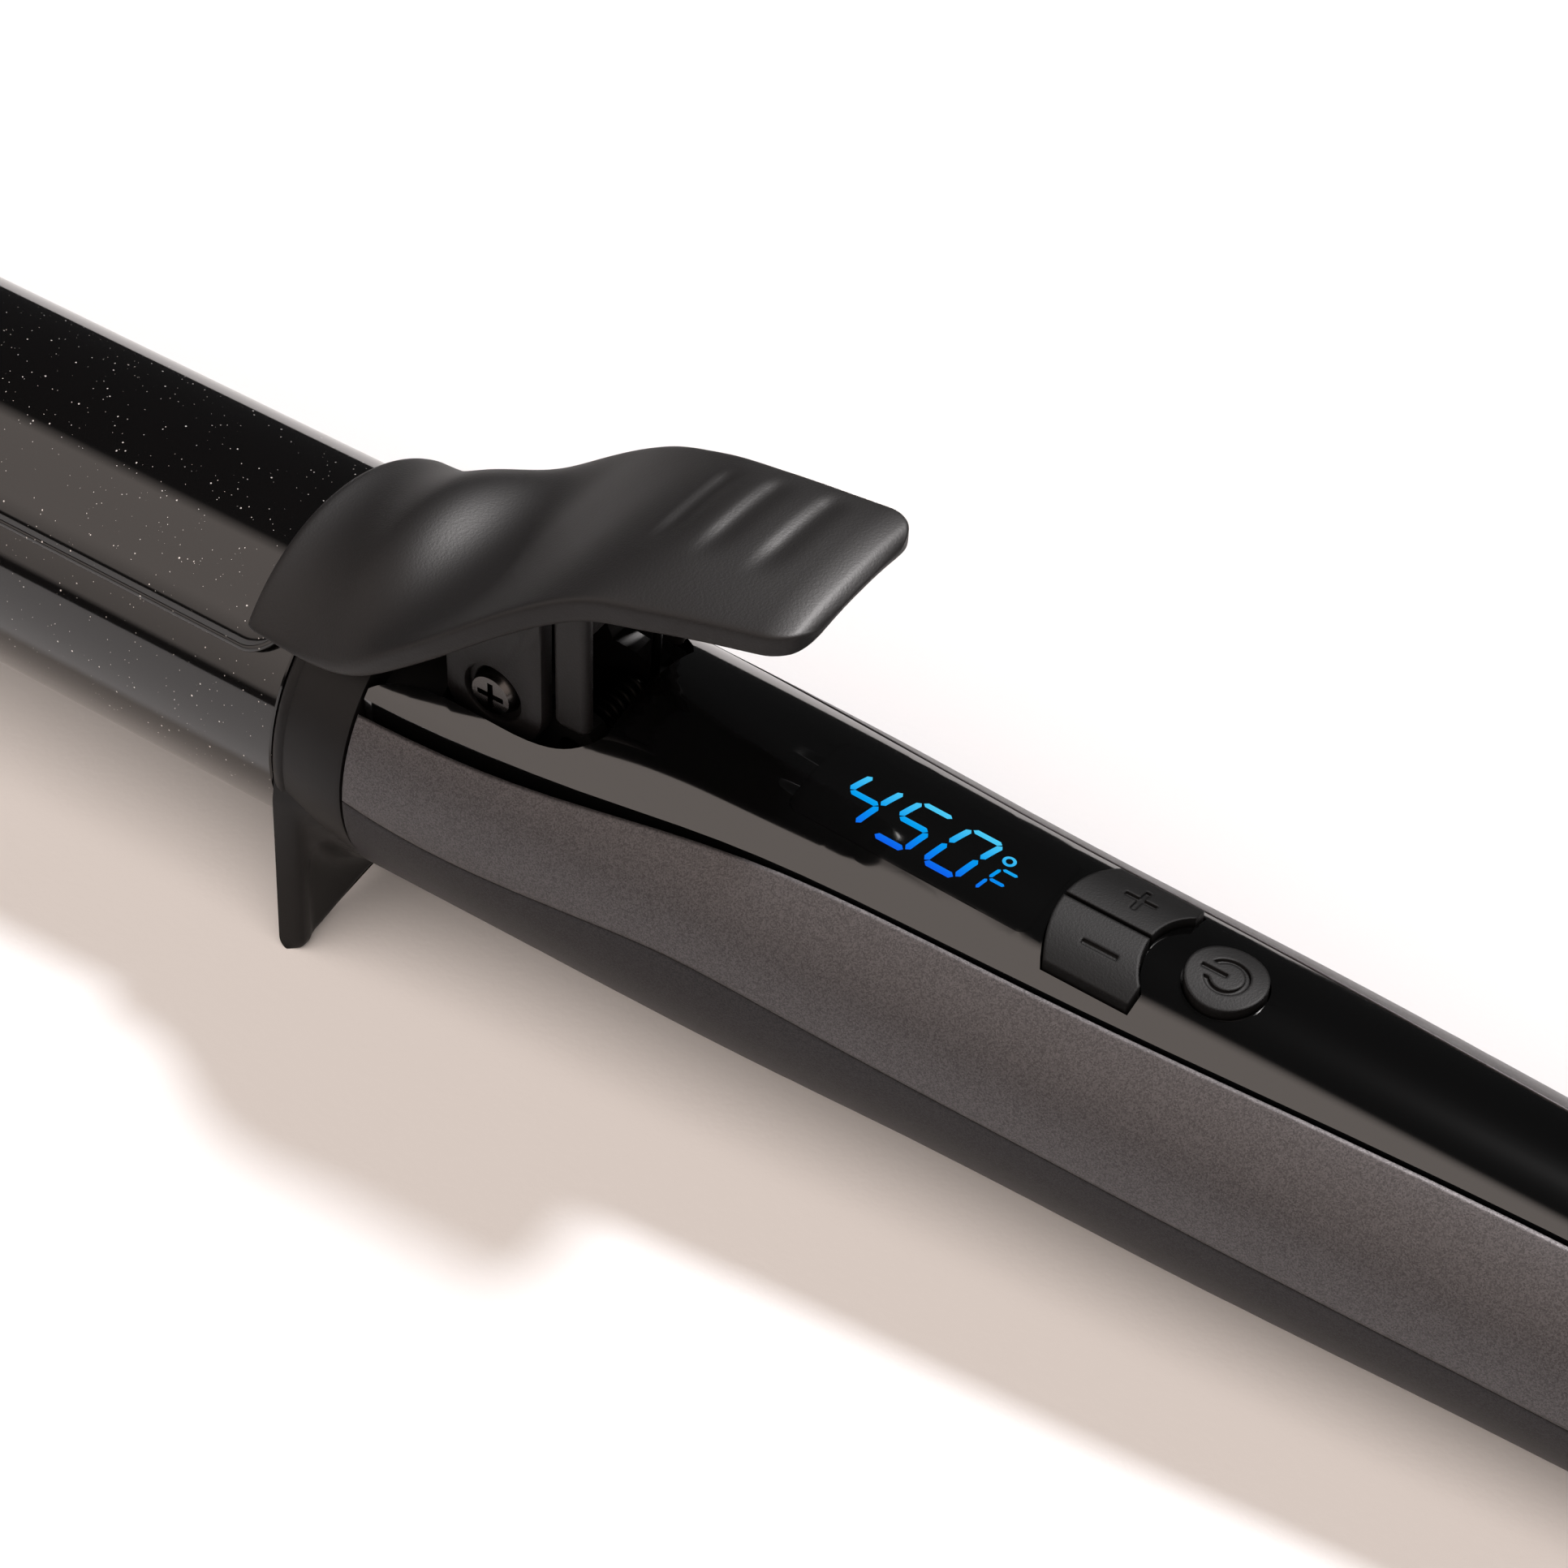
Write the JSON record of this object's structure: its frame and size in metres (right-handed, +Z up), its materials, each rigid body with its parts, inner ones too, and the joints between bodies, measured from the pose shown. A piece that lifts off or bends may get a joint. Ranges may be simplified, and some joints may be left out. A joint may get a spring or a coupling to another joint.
{
  "type": "curling iron",
  "caption": "Spring-clip curling iron lying on its collar stand foot, with a thumb lever, a lit temperature display, push keys and a turning cord outlet.",
  "frame": {"origin": "middle of the iron's length and width on the surface it lies on", "axes": "+X from the barrel's free end towards the cord outlet, +Y across towards the plus key's side, +Z up"},
  "size_m": [0.3322, 0.0346, 0.0599],
  "materials": {
    "coated_barrel": "gloss black ceramic coating with fine silver flecks",
    "coated_clip": "gloss black ceramic coating with fine silver flecks",
    "tip_plastic": "fine-grained black heat-resistant plastic",
    "lever_plastic": "fine-grained black heat-resistant plastic",
    "collar_plastic": "fine-grained black heat-resistant plastic",
    "grey_metallic": "dark grey metallic paint on plastic",
    "grey_lower": "darker grey metallic paint on plastic",
    "piano_black": "polished piano black",
    "key_plastic": "matt black moulded plastic",
    "smoked_window": "smoked display window",
    "lit_cyan": "lit cyan segments",
    "display_case": "white moulded plastic",
    "dark_steel": "black-oxide steel",
    "bright_steel": "bright spring steel",
    "plain_aluminium": "extruded",
    "white_ceramic": "fired alumina",
    "seat_resin": "glass-filled heat-resistant resin",
    "sleeve_fibre": "woven glass sleeve",
    "board_green": "solder-masked laminate",
    "component_dark": "moulded components",
    "switch_black": "moulded switch bodies",
    "contact_brass": "bright brass",
    "gland_rubber": "black moulded plastic"
  },
  "bodies": {
    "handle": {"barrel_tube": "coated_barrel", "cool_tip": "tip_plastic", "tip_bridge": "bright_steel", "tip_screw": "dark_steel", "heat_spreader_upper": "plain_aluminium", "heat_spreader_lower": "plain_aluminium", "heater_plate": "white_ceramic", "spreader_spring": "bright_steel", "thermistor": "sleeve_fibre", "heater_leads": "sleeve_fibre", "barrel_seat": "seat_resin", "collar_stand": "collar_plastic", "lower_shell": "grey_lower", "upper_shell": "grey_metallic", "top_cover": "piano_black", "shell_screws": "dark_steel", "pivot_screws": "dark_steel", "pivot_bracket": "seat_resin", "spring_pin": "bright_steel", "torsion_spring": "bright_steel", "main_board": "board_green", "display_module": "display_case", "display_lens": "smoked_window", "display_digits": "lit_cyan", "tact_switches": "switch_black", "power_components": "component_dark", "end_cap": "tip_plastic", "swivel_retainer": "bright_steel", "slip_ring_disc": "board_green", "contact_brushes": "contact_brass"},
    "clip": {"clip_plate": "coated_clip", "clip_rivets": "bright_steel", "clip_lever": "lever_plastic"},
    "plus": {"plus_key": "key_plastic"},
    "minus": {"minus_key": "key_plastic"},
    "power": {"power_key": "key_plastic"},
    "swivel": {"swivel_gland": "gland_rubber", "contact_rings": "contact_brass"}
  },
  "joints": [
    {"name": "clip_hinge", "type": "hinge", "parent": "handle", "child": "clip", "pos_m": [0.00224, 0, 0.03592], "axis": [0, 1, 0], "range_deg": [0, 22], "stiffness_Nm_per_rad": 0.15, "springref_deg": -45.84, "deforming": ["torsion_spring"]},
    {"name": "plus_key_press", "type": "slide", "parent": "handle", "child": "plus", "axis": [-0.0459, 0, -0.9989], "range_m": [0, 0.0005], "stiffness_N_per_m": 1500, "springref_m": -0.0002},
    {"name": "minus_key_press", "type": "slide", "parent": "handle", "child": "minus", "axis": [-0.0459, 0, -0.9989], "range_m": [0, 0.0005], "stiffness_N_per_m": 1500, "springref_m": -0.0002},
    {"name": "power_key_press", "type": "slide", "parent": "handle", "child": "power", "axis": [-0.0459, 0, -0.9989], "range_m": [0, 0.0005], "stiffness_N_per_m": 1500, "springref_m": -0.0002},
    {"name": "cord_swivel", "type": "hinge", "parent": "handle", "child": "swivel", "pos_m": [0.1546, 0, 0.01313], "axis": [0.9985, 0, -0.0542], "continuous": true}
  ]
}
